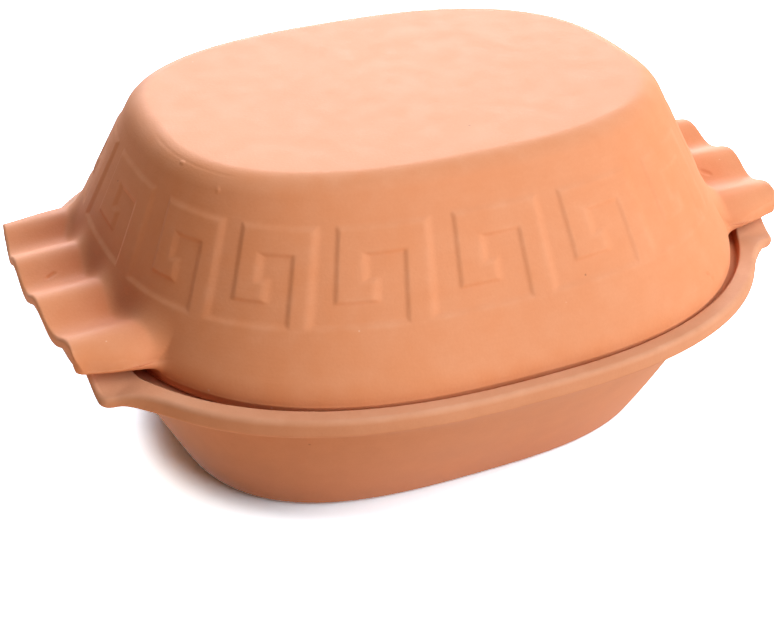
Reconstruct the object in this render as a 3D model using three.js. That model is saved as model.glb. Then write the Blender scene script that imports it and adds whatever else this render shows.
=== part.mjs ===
// Clay roaster: an oval dish of unglazed terracotta under a high lid, both with wavy grips at the ends.
// Millimetres, +Z up. The origin is on the table under the middle of the dish, and X runs from grip to grip.
import * as THREE from "three";

// Lid wall: an oval that widens downwards from the flat top to a fold just above the dish's rim
const LID_TOP = { z: 155, a: 115.4, b: 84.8, power: 2.55 };
const LID_FOLD = { z: 85, a: 146, b: 131.5, power: 2.62 };
const LID_TOP_RADIUS = 13;
const LID_WALL = 8.4;
const LID_ROOF = 7.5;
const LID_INNER_RADIUS = 6;

// Fold: the wall turns upright there, more gently near the grips than in the middle of the long sides
const FOLD_RADIUS_SIDE = 14;
const FOLD_RADIUS_END = 18;
const FOLD_CHANGE = 125;

// Lid skirt: the short upright edge below the fold, which sits on the seat inside the dish's rim
const SKIRT_INSET = 0.3;
const SKIRT_TAPER = 0.6;
const SKIRT_TOP_Z = 80;
const SKIRT_FOOT_Z = 75.5;
const SKIRT_ROUND = 1;

// Key band on the lid: one raised line that runs round the wall, with everything below it raised as well
const BAND_TOP_Z = 139;
const BAND_BOTTOM_Z = 107;
const BAR_UNDERSIDE_Z = 130;
const HOOK_TOP_Z = 121.4;
const HOOK_FOOT_Z = 114.7;
const RELIEF = 0.75;
const RELIEF_BEVEL = 0.6;
// Widths of the key units along one half of the lid, as they were carved, and where the first one starts
const KEY_WIDTHS = [58, 41, 40, 50, 51, 51, 50, 50];
const KEY_START = -209;
// Edges inside one unit, as shares of its width
const LEFT_BAR = 0.23;
const HOOK_TIP = 0.32;
const RIGHT_BAR_START = 0.56;
const RIGHT_BAR_END = 0.77;

// Dish: a flat bottom, a flared wall and an upright rim band
const DISH_BOTTOM = { z: 0, a: 112, b: 86.5, power: 2.9 };
const DISH_NECK = { z: 66.5, a: 146.3, b: 133.5, power: 2.15 };
const DISH_BOTTOM_RADIUS = 6;
const DISH_WALL = 9.5;
const DISH_FLOOR = 8;
const DISH_INNER_RADIUS = 9;
const RIM = { a: 161, b: 140, power: 2.5 };
const RIM_FOOT_Z = 71.2;
const RIM_TOP_Z = 79.2;
const RIM_ROUND = 2.4;
const RIM_INNER = { a: 155.5, b: 133.2, power: 2.42 };
const RIM_INNER_TAPER = 0.7;
const LIP_ROUND = 1.4;

// Seat: the ledge inside the rim that the lid's skirt stands on
const SEAT_Z = 75.2;
const SEAT_INNER = { a: 142, b: 126.5, power: 2.4 };
const SEAT_FOOT_Z = 62;

// Grips: a wavy shelf at each end of both pieces, four crests wide, with the crests running along X
const WAVE_PITCH = 36.4;
const WAVE_HEIGHT = 2.75;
const GRIP_SAG = 0.00075;
const OUTER_CREST = 1.5 * WAVE_PITCH;
const LID_GRIP = {
  reach: 172.3,
  bow: 0.0014,
  level: 94.3,
  slope: 0.05,
  halfWidth: 62,
  flare: 0.35,
  flareRun: 19,
  corner: 2.5,
  join: 14,
  thickness: 4.9,
  round: 1.4,
};
const DISH_GRIP = {
  reach: 164.6,
  bow: 0.0007,
  level: 83.6,
  slope: 0.14,
  halfWidth: 70,
  flare: 0.5,
  flareRun: 30,
  corner: 3,
  join: 8,
  thickness: 5.4,
  round: 2.4,
};
// The lid's flanks round over from the outer crest to a low foot, and the dish's only sink a little
const LID_FLANK = { start: 55, change: 6, footZ: 85, footRound: 1, fall: 2, power: 2.3 };
const DISH_FLANK = { width: 14.5, drop: 7.2 };
const GRIP_LOW_Z = 84;
const GRIP_FILLET = 10;
const GRIP_FADE = 9;

// Mesh density: the longest step along the outline of a wall and of a grip, which starts at a least reach
const WALL_STEP = 16;
const GRIP_STEP = 6.5;
const GRIP_LEAST_REACH = 1;
const OUTLINE_SAMPLES = 2400;
// Rings of a rounded edge, and rings between the key band and a grip's edge, as shares of the way
const ROUND_SHARES = [0, 0.5, 1];
const SHOULDER_SHARES = [0.2, 0.42, 0.7, 1];
// Turn of the rounded edges between the dish's floor or bottom and its wall
const DISH_TURN = Math.PI / 3;

// Search by halving for an outline, outwards from a column's root
const HALVINGS = 32;
const SEARCH_FROM = -1;
const SEARCH_TO = 60;
const LEAST_SHARE = 0.01;

const CLAY_COLOUR = 0xeaa67f;
const CLAY_ROUGHNESS = 0.9;

const TURN = 2 * Math.PI;
const FRONT = 1.5 * Math.PI;

function mix(from, to, share) {
  return from + (to - from) * share;
}

function smoothStep(share) {
  const clamped = Math.min(Math.max(share, 0), 1);
  return clamped * clamped * (3 - 2 * clamped);
}

// Greater of two heights, with a fillet where they meet
function softMax(first, second, reach) {
  const overlap = Math.max(reach - Math.abs(first - second), 0);
  return Math.max(first, second) + (overlap * overlap) / (4 * reach);
}

// Union of two signed distances, with a fillet where the outlines meet
function softUnion(first, second, reach) {
  return -softMax(-first, -second, reach);
}

// Point of a superellipse at parameter angle t
function ovalPoint(a, b, power, t) {
  const c = Math.cos(t);
  const s = Math.sin(t);
  return [a * Math.sign(c) * Math.abs(c) ** (2 / power), b * Math.sign(s) * Math.abs(s) ** (2 / power)];
}

// About how far a plan point is outside a superellipse
function ovalDistance(x, y, a, b, power) {
  const share = (Math.abs(x / a) ** power + Math.abs(y / b) ** power) ** (1 / power);
  return Math.hypot(x, y) * (1 - 1 / Math.max(share, LEAST_SHARE));
}

// Half the width of a grip, which flares towards the wall
function gripHalfWidth(x, grip) {
  const endCorner = grip.reach - grip.bow * grip.halfWidth * grip.halfWidth;
  const inwards = Math.min(Math.max(endCorner - Math.abs(x), 0), grip.flareRun);
  return grip.halfWidth + grip.flare * inwards;
}

// How far a plan point is outside a grip, whose end bows out
function gripDistance(x, y, grip) {
  const end = Math.abs(x) - grip.reach + grip.bow * y * y + grip.corner;
  const side = Math.abs(y) - gripHalfWidth(x, grip) + grip.corner;
  return Math.hypot(Math.max(end, 0), Math.max(side, 0)) + Math.min(Math.max(end, side), 0) - grip.corner;
}

// Height of a grip's wavy top over a plan point, before its flanks fall away
function gripCrest(x, y, grip) {
  const wave = Math.abs(y) < OUTER_CREST ? -Math.cos((TURN * y) / WAVE_PITCH) : 1;
  return grip.level + grip.slope * (grip.reach - Math.abs(x)) + WAVE_HEIGHT * wave - GRIP_SAG * y * y;
}

function lidGripHeight(x, y) {
  const halfWidth = gripHalfWidth(x, LID_GRIP);
  const past = Math.min(Math.max((Math.abs(y) - OUTER_CREST) / (halfWidth - OUTER_CREST), 0), 1);
  const rounded = 1 - (1 - past ** LID_FLANK.power) ** (1 / LID_FLANK.power);
  const beyond = LID_FLANK.fall * Math.max(Math.abs(y) - halfWidth, 0);
  return mix(gripCrest(x, y, LID_GRIP), LID_FLANK.footZ, rounded) - beyond;
}

function dishGripHeight(x, y) {
  const past = Math.min(Math.max(Math.abs(y) - OUTER_CREST, 0) / DISH_FLANK.width, 1);
  return gripCrest(x, y, DISH_GRIP) - DISH_FLANK.drop * Math.sin((past * Math.PI) / 2);
}

function lidOval(z) {
  const share = (LID_TOP.z - z) / (LID_TOP.z - LID_FOLD.z);
  return {
    a: mix(LID_TOP.a, LID_FOLD.a, share),
    b: mix(LID_TOP.b, LID_FOLD.b, share),
    power: mix(LID_TOP.power, LID_FOLD.power, share),
  };
}

function dishOval(z) {
  const share = (z - DISH_BOTTOM.z) / (DISH_NECK.z - DISH_BOTTOM.z);
  return {
    a: mix(DISH_BOTTOM.a, DISH_NECK.a, share),
    b: mix(DISH_BOTTOM.b, DISH_NECK.b, share),
    power: mix(DISH_BOTTOM.power, DISH_NECK.power, share),
  };
}

// Column of a piece: its plan root, its outward direction and how far its outline lies beyond the root
function makeColumn(t, upper, lower, outside) {
  const run = [lower[0] - upper[0], lower[1] - upper[1]];
  const length = Math.hypot(run[0], run[1]);
  const out = [run[0] / length, run[1] / length];
  let near = SEARCH_FROM;
  let far = SEARCH_TO;
  for (let halving = 0; halving < HALVINGS; halving += 1) {
    const middle = (near + far) / 2;
    if (outside(lower[0] + out[0] * middle, lower[1] + out[1] * middle) > 0) {
      far = middle;
    } else {
      near = middle;
    }
  }
  return { t, root: lower, out, length, reach: (near + far) / 2 };
}

function lidColumn(t) {
  const upper = ovalPoint(LID_TOP.a, LID_TOP.b, LID_TOP.power, t);
  const lower = ovalPoint(LID_FOLD.a, LID_FOLD.b, LID_FOLD.power, t);
  return makeColumn(t, upper, lower, (x, y) => {
    const wall = ovalDistance(x, y, LID_FOLD.a, LID_FOLD.b, LID_FOLD.power);
    return softUnion(wall, gripDistance(x, y, LID_GRIP), LID_GRIP.join);
  });
}

function dishColumn(t) {
  const upper = ovalPoint(DISH_BOTTOM.a, DISH_BOTTOM.b, DISH_BOTTOM.power, t);
  const lower = ovalPoint(RIM.a, RIM.b, RIM.power, t);
  return makeColumn(t, upper, lower, (x, y) => {
    const wall = ovalDistance(x, y, RIM.a, RIM.b, RIM.power);
    return softUnion(wall, gripDistance(x, y, DISH_GRIP), DISH_GRIP.join);
  });
}

function along(column, distance) {
  return [column.root[0] + column.out[0] * distance, column.root[1] + column.out[1] * distance];
}

// Running length along a line of plan points
function runningLengths(points) {
  const lengths = [0];
  for (let index = 1; index < points.length; index += 1) {
    const previous = points[index - 1];
    const point = points[index];
    lengths.push(lengths[index - 1] + Math.hypot(point[0] - previous[0], point[1] - previous[1]));
  }
  return lengths;
}

// Value at a position in a rising list, read from a second list
function lookUp(position, rising, values) {
  let index = 1;
  while (index < rising.length - 1 && rising[index] < position) {
    index += 1;
  }
  const share = (position - rising[index - 1]) / (rising[index] - rising[index - 1]);
  return mix(values[index - 1], values[index], share);
}

function sampleAngles() {
  return Array.from({ length: OUTLINE_SAMPLES + 1 }, (_, index) => FRONT + (TURN * index) / OUTLINE_SAMPLES);
}

// Parameter angles round a piece: the fixed ones, and between them as many as its outline needs
function spreadAngles(makeOne, fixed) {
  const angles = sampleAngles();
  const sampled = angles.map(makeOne);
  const lengths = runningLengths(sampled.map((column) => along(column, column.reach)));
  const steps = [0];
  for (let index = 1; index < angles.length; index += 1) {
    const longest = sampled[index].reach > GRIP_LEAST_REACH ? GRIP_STEP : WALL_STEP;
    steps.push(steps[index - 1] + (lengths[index] - lengths[index - 1]) / longest);
  }
  const stops = [FRONT, ...fixed, FRONT + TURN];
  const spread = [];
  for (let index = 0; index < stops.length - 1; index += 1) {
    const from = lookUp(stops[index], angles, steps);
    const to = lookUp(stops[index + 1], angles, steps);
    const count = Math.max(Math.round(to - from), 1);
    for (let part = 0; part < count; part += 1) {
      spread.push(lookUp(mix(from, to, part / count), steps, angles));
    }
  }
  return spread;
}

// Key units: where each starts along the wall, measured from the front middle at half the band's height
const bandOval = lidOval((BAND_TOP_Z + BAND_BOTTOM_Z) / 2);
const bandAngles = sampleAngles();
const bandPoint = (t) => ovalPoint(bandOval.a, bandOval.b, bandOval.power, t);
const bandLengths = runningLengths(bandAngles.map(bandPoint));
const bandLength = bandLengths.at(-1);
const keyUnits = [];
{
  const widths = [...KEY_WIDTHS, ...KEY_WIDTHS];
  const total = widths.reduce((sum, width) => sum + width, 0);
  let start = KEY_START;
  for (const width of widths) {
    const fitted = (width * bandLength) / total;
    keyUnits.push({ start, width: fitted });
    start += fitted;
  }
}

function wrapLength(position) {
  return ((position % bandLength) + bandLength) % bandLength;
}

// Share of its key unit that a position along the wall has passed
function unitShare(position) {
  for (const unit of keyUnits) {
    const past = wrapLength(position - unit.start);
    if (past < unit.width) {
      return past / unit.width;
    }
  }
  return 1;
}

// Whether the lid's wall is raised at a place along it and a height
function isRaised(position, z) {
  if (z < BAND_BOTTOM_Z || z > BAND_TOP_Z) {
    return z < BAND_BOTTOM_Z;
  }
  const share = unitShare(position);
  const inLeftBar = share < LEFT_BAR && z > HOOK_FOOT_Z;
  const inTopBar = share < RIGHT_BAR_END && z > BAR_UNDERSIDE_Z;
  const inHook = share < HOOK_TIP && z > HOOK_FOOT_Z && z < HOOK_TOP_Z;
  const inRightBar = share > RIGHT_BAR_START && share < RIGHT_BAR_END;
  return inLeftBar || inTopBar || inHook || inRightBar;
}

// Closed body from rings of equal count between two end points
function closedBody(first, rings, last) {
  const count = rings[0].length;
  const positions = [first, ...rings.flat(), last].flat();
  const indices = [];
  const at = (ring, column) => 1 + ring * count + (column % count);
  const end = 1 + rings.length * count;
  for (let column = 0; column < count; column += 1) {
    indices.push(0, at(0, column), at(0, column + 1));
    for (let ring = 0; ring < rings.length - 1; ring += 1) {
      indices.push(at(ring, column), at(ring + 1, column), at(ring + 1, column + 1));
      indices.push(at(ring, column), at(ring + 1, column + 1), at(ring, column + 1));
    }
    indices.push(end, at(rings.length - 1, column + 1), at(rings.length - 1, column));
  }
  const geometry = new THREE.BufferGeometry();
  geometry.setAttribute("position", new THREE.Float32BufferAttribute(positions, 3));
  geometry.setIndex(indices);
  geometry.computeVertexNormals();
  return geometry;
}

function lidGeometry() {
  const edges = [];
  for (const unit of keyUnits) {
    for (const share of [0, LEFT_BAR, HOOK_TIP, RIGHT_BAR_START, RIGHT_BAR_END]) {
      for (const side of [-RELIEF_BEVEL, RELIEF_BEVEL]) {
        edges.push(wrapLength(unit.start + share * unit.width + side));
      }
    }
  }
  edges.sort((one, other) => one - other);
  const fixed = edges.map((position) => lookUp(position, bandLengths, bandAngles));
  const columns = spreadAngles(lidColumn, fixed).map((t) => {
    const column = lidColumn(t);
    column.position = lookUp(t, bandAngles, bandLengths);
    column.lean = Math.atan(column.length / (LID_TOP.z - LID_FOLD.z));
    column.grip = smoothStep(column.reach / GRIP_FADE);
    const edgeY = Math.abs(along(column, column.reach)[1]);
    column.flank = smoothStep((edgeY - LID_FLANK.start) / LID_FLANK.change);
    const foldShare = smoothStep(Math.abs(column.root[0]) / FOLD_CHANGE);
    column.foldRadius = mix(FOLD_RADIUS_SIDE, FOLD_RADIUS_END, foldShare);
    return column;
  });

  // Plan distance from a column's root to the wall at a height, and the wall's height at a distance
  const wallRun = (column, z) => (-column.length * (z - LID_FOLD.z)) / (LID_TOP.z - LID_FOLD.z);
  const wallHeight = (column, run) => LID_FOLD.z - (run * (LID_TOP.z - LID_FOLD.z)) / column.length;
  const place = (column, distance, z) => [...along(column, distance), z];

  // Rounded edge between a wall and the flat above it, at a share of its turn
  const edgePoint = (column, inset, top, radius, share) => {
    const angle = mix(column.lean, Math.PI / 2, share);
    const start = wallRun(column, top - radius * (1 - Math.sin(column.lean))) - inset;
    return place(
      column,
      start + radius * (Math.cos(angle) - Math.cos(column.lean)),
      top - radius * (1 - Math.sin(angle)),
    );
  };

  const rings = [];
  for (const share of ROUND_SHARES.toReversed()) {
    rings.push(columns.map((column) => edgePoint(column, RELIEF, LID_TOP.z, LID_TOP_RADIUS, share)));
  }
  for (const level of [BAND_TOP_Z, BAR_UNDERSIDE_Z, HOOK_TOP_Z, HOOK_FOOT_Z, BAND_BOTTOM_Z]) {
    for (const z of [level + RELIEF_BEVEL, level - RELIEF_BEVEL]) {
      rings.push(columns.map((column) => {
        const sunk = isRaised(column.position, z) ? 0 : RELIEF;
        const [x, y] = along(column, wallRun(column, z) - sunk);
        return [x, y, softMax(z, lidGripHeight(x, y), GRIP_FILLET)];
      }));
    }
  }

  // From the band down to the outline: the wall and the grip's top are one surface
  const bandRun = (column) => wallRun(column, BAND_BOTTOM_Z - RELIEF_BEVEL);
  const topHeight = (column, run) => {
    const height = softMax(wallHeight(column, run), lidGripHeight(...along(column, run)), GRIP_FILLET);
    return mix(height, softMax(height, LID_FLANK.footZ, LID_FLANK.footRound), column.grip);
  };
  const foldRun = (column, angle) => -column.foldRadius * (1 - Math.cos(angle));
  const edgeRun = (column) => mix(foldRun(column, column.lean), column.reach - LID_GRIP.round, column.grip);
  for (const share of SHOULDER_SHARES) {
    rings.push(columns.map((column) => {
      const run = mix(bandRun(column), edgeRun(column), share);
      return place(column, run, topHeight(column, run));
    }));
  }

  // Round the fold or the grip's edge, at a share of the way from its start to its foot
  const edgeTurn = (column, share, gripRun, gripHeight) => {
    const angle = column.lean * (1 - share);
    const foot = LID_FOLD.z - column.foldRadius * Math.tan(column.lean / 2);
    const run = mix(foldRun(column, angle), gripRun, column.grip);
    return place(column, run, mix(foot + column.foldRadius * Math.sin(angle), gripHeight, column.grip));
  };
  const gripLow = (column) => {
    const low = Math.max(topHeight(column, edgeRun(column)) - LID_GRIP.thickness, GRIP_LOW_Z);
    return mix(low, GRIP_LOW_Z, column.flank);
  };
  rings.push(columns.map((column) => {
    const low = gripLow(column);
    const halfway = mix(low, topHeight(column, edgeRun(column)), 0.5);
    return edgeTurn(column, 0.5, column.reach, mix(halfway, low + LID_FLANK.footRound, column.flank));
  }));
  rings.push(columns.map((column) => {
    const inset = mix(LID_GRIP.round, LID_FLANK.footRound, column.flank);
    return edgeTurn(column, 1, column.reach - inset, gripLow(column));
  }));

  // Back under the grip to the skirt
  rings.push(columns.map((column) => {
    const [x, y] = along(column, -SKIRT_INSET);
    const under = lidGripHeight(x, y) - LID_GRIP.thickness;
    return [x, y, mix(SKIRT_TOP_Z, Math.max(under, SKIRT_TOP_Z), column.grip)];
  }));
  rings.push(columns.map((column) => place(column, -SKIRT_INSET - SKIRT_TAPER, SKIRT_FOOT_Z + SKIRT_ROUND)));
  rings.push(columns.map((column) => place(column, -SKIRT_INSET - SKIRT_TAPER - SKIRT_ROUND, SKIRT_FOOT_Z)));

  // Inside of the lid
  rings.push(columns.map((column) => place(column, SKIRT_ROUND - LID_WALL, SKIRT_FOOT_Z)));
  rings.push(columns.map((column) => place(column, -LID_WALL, SKIRT_FOOT_Z + SKIRT_ROUND)));
  rings.push(columns.map((column) => place(column, -LID_WALL, LID_FOLD.z)));
  for (const share of ROUND_SHARES) {
    rings.push(columns.map((column) =>
      edgePoint(column, LID_WALL, LID_TOP.z - LID_ROOF, LID_INNER_RADIUS, share)));
  }
  return closedBody([0, 0, LID_TOP.z], rings, [0, 0, LID_TOP.z - LID_ROOF]);
}

function dishGeometry() {
  const fixed = [FRONT + TURN / 4, FRONT + TURN / 2, FRONT + (3 * TURN) / 4];
  const columns = spreadAngles(dishColumn, fixed).map((t) => {
    const column = dishColumn(t);
    column.grip = smoothStep(column.reach / GRIP_FADE);
    return column;
  });

  // Ring on the dish's wall at a height, moved inwards along the columns
  const wallPoint = (column, z, inset) => {
    const oval = dishOval(z);
    const [x, y] = ovalPoint(oval.a, oval.b, oval.power, column.t);
    return [x - column.out[0] * inset, y - column.out[1] * inset, z];
  };
  const ovalRing = (oval, z, inset) => columns.map((column) => {
    const [x, y] = ovalPoint(oval.a, oval.b, oval.power, column.t);
    return [x - column.out[0] * inset, y - column.out[1] * inset, z];
  });

  // Rim top or grip top over a plan point
  const topHeight = (column, x, y) => mix(RIM_TOP_Z, dishGripHeight(x, y), column.grip);
  const inset = (column, atRim) => mix(atRim, DISH_GRIP.round, column.grip);
  const outlineHeight = (column) => {
    const [x, y] = along(column, column.reach - inset(column, RIM_ROUND));
    return topHeight(column, x, y);
  };

  const rings = [];
  // Inside of the dish, from the floor up to the seat
  for (const share of ROUND_SHARES) {
    const angle = share * DISH_TURN;
    const z = DISH_FLOOR + DISH_INNER_RADIUS * (1 - Math.cos(angle));
    const pulled = DISH_INNER_RADIUS * (Math.sin(DISH_TURN) - Math.sin(angle));
    rings.push(columns.map((column) => {
      const [x, y] = wallPoint(column, DISH_FLOOR + DISH_INNER_RADIUS / 2, DISH_WALL + pulled);
      return [x, y, z];
    }));
  }
  rings.push(columns.map((column) => wallPoint(column, SEAT_FOOT_Z, DISH_WALL)));
  rings.push(ovalRing(SEAT_INNER, SEAT_Z, 0));

  // Seat, rim and the top of the grips
  rings.push(ovalRing(RIM_INNER, SEAT_Z, RIM_INNER_TAPER));
  rings.push(columns.map((column) => {
    const [x, y] = ovalPoint(RIM_INNER.a, RIM_INNER.b, RIM_INNER.power, column.t);
    return [x, y, topHeight(column, x, y) - LIP_ROUND];
  }));
  rings.push(columns.map((column) => {
    const [x, y] = ovalPoint(RIM_INNER.a, RIM_INNER.b, RIM_INNER.power, column.t);
    const point = [x + column.out[0] * LIP_ROUND, y + column.out[1] * LIP_ROUND];
    return [...point, topHeight(column, ...point)];
  }));
  rings.push(columns.map((column) => {
    const point = along(column, column.reach - inset(column, RIM_ROUND));
    return [...point, outlineHeight(column)];
  }));

  // Outer face of the rim, which turns into the grips' edge and underside
  rings.push(columns.map((column) => {
    const z = outlineHeight(column) - mix(RIM_ROUND, DISH_GRIP.thickness / 2, column.grip);
    return [...along(column, column.reach), z];
  }));
  rings.push(columns.map((column) => {
    const point = along(column, column.reach - inset(column, 0));
    return [...point, mix(RIM_FOOT_Z, outlineHeight(column) - DISH_GRIP.thickness, column.grip)];
  }));

  // Outside of the dish, down to the flat bottom
  rings.push(columns.map((column) => wallPoint(column, DISH_NECK.z, 0)));
  rings.push(columns.map((column) => wallPoint(column, DISH_NECK.z / 2, 0)));
  for (const share of ROUND_SHARES) {
    const angle = (1 - share) * DISH_TURN;
    const z = DISH_BOTTOM_RADIUS * (1 - Math.cos(angle));
    const pulled = DISH_BOTTOM_RADIUS * (Math.sin(DISH_TURN) - Math.sin(angle));
    rings.push(columns.map((column) => {
      const [x, y] = wallPoint(column, DISH_BOTTOM_RADIUS / 2, pulled);
      return [x, y, z];
    }));
  }
  return closedBody([0, 0, DISH_FLOOR], rings, [0, 0, 0]);
}

function clayPiece(name, geometry) {
  const clay = new THREE.MeshStandardMaterial({
    color: CLAY_COLOUR,
    roughness: CLAY_ROUGHNESS,
    metalness: 0,
  });
  const mesh = new THREE.Mesh(geometry, clay);
  mesh.name = name;
  return mesh;
}

const roaster = new THREE.Group();
roaster.add(clayPiece("base_dish", dishGeometry()));
roaster.add(clayPiece("lid", lidGeometry()));

export default roaster;
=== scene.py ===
# Clay roaster: an oval dish of unglazed terracotta under a high lid with a raised key band.
# Sizes are in millimetres in the frame of the solids, and the meshes are made in metres.
import math
from collections import namedtuple

import bpy
import numpy as np
from mathutils import Matrix, Vector


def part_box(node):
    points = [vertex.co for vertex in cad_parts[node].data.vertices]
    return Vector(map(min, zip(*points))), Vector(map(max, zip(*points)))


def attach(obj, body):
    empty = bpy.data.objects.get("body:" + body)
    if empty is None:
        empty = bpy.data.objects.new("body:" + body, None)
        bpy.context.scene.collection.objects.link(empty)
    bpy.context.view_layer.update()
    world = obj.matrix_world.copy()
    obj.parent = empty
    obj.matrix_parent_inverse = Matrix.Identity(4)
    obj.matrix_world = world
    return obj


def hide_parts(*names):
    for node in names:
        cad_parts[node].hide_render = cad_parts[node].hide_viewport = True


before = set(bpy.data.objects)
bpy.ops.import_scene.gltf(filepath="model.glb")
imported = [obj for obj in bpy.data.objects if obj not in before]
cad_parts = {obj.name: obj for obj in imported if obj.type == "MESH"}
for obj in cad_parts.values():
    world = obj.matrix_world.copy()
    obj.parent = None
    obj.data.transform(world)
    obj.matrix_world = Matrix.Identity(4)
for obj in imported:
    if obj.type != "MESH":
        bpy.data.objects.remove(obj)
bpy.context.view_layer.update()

MM = 0.001

Oval = namedtuple("Oval", "z a b power")
Grip = namedtuple("Grip", "reach bow level slope half_width flare flare_run corner join")
Ring = namedtuple("Ring", "points wear")
Columns = namedtuple("Columns", "t root out length reach grip")
Scar = namedtuple("Scar", "line radius height")
Spot = namedtuple("Spot", "place radius tone")
Lamp = namedtuple("Lamp", "name azimuth elevation share tint")
Noise = namedtuple("Noise", "scale detail low high")
Specks = namedtuple("Specks", "scale radius share")
Bump = namedtuple("Bump", "strength distance")

LID_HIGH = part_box("lid")[1] / MM
DISH_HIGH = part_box("base_dish")[1] / MM

# Lid wall: an oval that widens downwards from the flat top to a fold just above the dish's rim
LID_TOP = Oval(LID_HIGH.z, 115.4, 84.8, 2.55)
LID_FOLD = Oval(85.0, 146.0, LID_HIGH.y, 2.62)
LID_TOP_RADIUS = 13.0
LID_WALL = 8.4
LID_ROOF = 7.5
LID_INNER_RADIUS = 6.0

# Fold: the wall turns upright there, more gently near the grips than in the middle of the long sides
FOLD_RADIUS_SIDE = 14.0
FOLD_RADIUS_END = 18.0
FOLD_CHANGE = 125.0
FOLD_END_LEAN = math.radians(2)

# Lid skirt: the short upright edge below the fold, which stands on the seat inside the dish's rim
SKIRT_FLARE = 0.1
SKIRT_TAPER = 1.0
SKIRT_TOP_Z = 80.0
SKIRT_FOOT_Z = 75.5
SKIRT_ROUND = 1.0
SKIRT_ROUND_Z = SKIRT_FOOT_Z + SKIRT_ROUND

# Key band on the lid: one raised line that runs round the wall, with everything below it raised as well.
# The widths are those of the keys of one half and repeat; bars and hook are shares of a key's width.
BAND_TOP_Z = 139.0
BAND_BOTTOM_Z = 107.0
BAR_UNDERSIDE_Z = 130.0
HOOK_TOP_Z = 121.4
HOOK_FOOT_Z = 114.7
RELIEF = 0.75
RELIEF_SOFT = 2.2
RELIEF_GENTLE = 0.45
RELIEF_WORN = 0.4
KEY_LEAN = 0.07
KEY_WIDTHS = [58, 41, 40, 50, 51, 51, 50, 50]
KEY_START = -209.0
LEFT_BAR = 0.23
HOOK_TIP = 0.32
RIGHT_BAR_START = 0.56
RIGHT_BAR_END = 0.77

# Dish: a flat bottom, a flared wall and an upright rim band
DISH_BOTTOM = Oval(0.0, 112.0, 86.5, 2.9)
DISH_NECK = Oval(66.5, 146.3, 133.5, 2.15)
DISH_BOTTOM_RADIUS = 6.0
DISH_WALL = 9.5
DISH_FLOOR = 8.0
DISH_INNER_RADIUS = 9.0
DISH_CORNER_TURN = math.pi / 3
RIM = Oval(71.2, 161.0, DISH_HIGH.y, 2.5)
RIM_TOP_Z = 79.2
RIM_ROUND = 2.4
RIM_FOOT_ROUND = 1.8
RIM_INNER = Oval(RIM_TOP_Z, 155.5, 132.8, 2.42)
RIM_INNER_TAPER = 0.7
LIP_ROUND = 0.9
NECK_FILLET = 9.0
NECK_FILLET_MOST = 0.9
SEAT = Oval(75.2, 142.0, 126.5, 2.4)
SEAT_FOOT_Z = 62.0

# Grips: a wavy shelf at each end of both pieces, four crests wide, with the crests running along X
WAVE_PITCH = 36.4
WAVE_HEIGHT = 2.75
GRIP_SAG = 0.00075
GRIP_THICKNESS = 4.9
GRIP_ROUND = 1.4
GRIP_FOOT_ROUND = 1.0
FLANK_FOOT_ROUND = 2.2
FLANK_ROUND_REACH = 26.0
DISH_GRIP_THICKNESS = 5.4
DISH_GRIP_ROUND = 2.4
OUTER_CREST = 1.5 * WAVE_PITCH
FLARE_EASE = 8.0
LID_GRIP = Grip(
    reach=LID_HIGH.x, bow=0.0014, level=94.3, slope=0.05, half_width=62.0,
    flare=0.35, flare_run=19.0, corner=2.5, join=14.0,
)
DISH_GRIP = Grip(
    reach=164.6, bow=0.0007, level=83.6, slope=0.14, half_width=70.0,
    flare=0.5, flare_run=30.0, corner=3.0, join=8.0,
)
GRIP_LOW_Z = 84.0
LID_FLANK_FOOT_Z = GRIP_LOW_Z + GRIP_FOOT_ROUND
LID_FLANK_FALL = 2.0
LID_FLANK_POWER = 2.3
FLANK_START = 55.0
FLANK_CHANGE = 6.0
DISH_FLANK_WIDTH = 14.5
DISH_FLANK_DROP = 7.2
GRIP_FILLET = 10.0
GRIP_FADE = 9.0

# Mesh density
LID_COLUMNS = 1440
DISH_COLUMNS = 640
OUTLINE_SAMPLES = 7200
GRIP_DENSITY = 1.6
HALVINGS = 30
OUTLINE_NEAREST = -1.0
OUTLINE_FARTHEST = 60.0

# Steps of vertex rings in each stretch of a piece, in the order in which they are made
LID_STEPS = {
    "top": 14, "top_edge": 28, "upper_wall": 7, "band": 78, "lower_wall": 60,
    "grip_edge": 7, "grip_side": 4, "grip_foot": 9, "grip_underside": 8, "skirt": 6,
    "skirt_foot": 5, "skirt_inside": 4, "inside": 14, "inside_edge": 8, "roof": 8,
}
DISH_STEPS = {
    "floor": 10, "floor_edge": 8, "inside": 18, "seat_slope": 7, "seat": 6, "rim_inside": 5,
    "lip": 6, "rim_top": 26, "rim_edge": 9, "rim_face": 5, "rim_foot": 7, "underside": 6,
    "neck": 10, "wall": 24, "bottom_edge": 8, "bottom": 8,
}

# Shares of a stretch at its first and last ring
TOP_RINGS = (0.06, 0.95)
FLOOR_RINGS = (0.08, 0.92)
HIDDEN_RINGS = (0.9, 0.1)
UPPER_WALL_RINGS = (0.12, 0.9)

# Edge wear and painted highlight: how far an edge is turned to the pale tone, partly as wear and partly
# as a painted highlight, from 0 to 1
TOP_WEAR_HIGHLIGHT = 0.15
BAND_WEAR_HIGHLIGHT = 0.4
BAND_WEAR_HIGHLIGHT_DEPTH = 0.3 * RELIEF_SOFT
BAND_WEAR_HIGHLIGHT_WIDTH = 0.4 * RELIEF_SOFT
EDGE_WEAR_HIGHLIGHT = 0.7
SIDE_WEAR_HIGHLIGHT = 0.3
LIP_WEAR_HIGHLIGHT = 0.5
FOOT_WEAR_HIGHLIGHT = 0.4

# Clay colours, as linear red, green and blue
LID_TONE = (0.80, 0.325, 0.153)
DISH_TONE = (0.72, 0.338, 0.19)
DEEP_SHARE = (0.88, 0.80, 0.72)
PALE_TONE = (0.90, 0.50, 0.33)
SPECK_TONE = (0.30, 0.11, 0.06)
GROG_TONE = (0.93, 0.66, 0.50)
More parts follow.
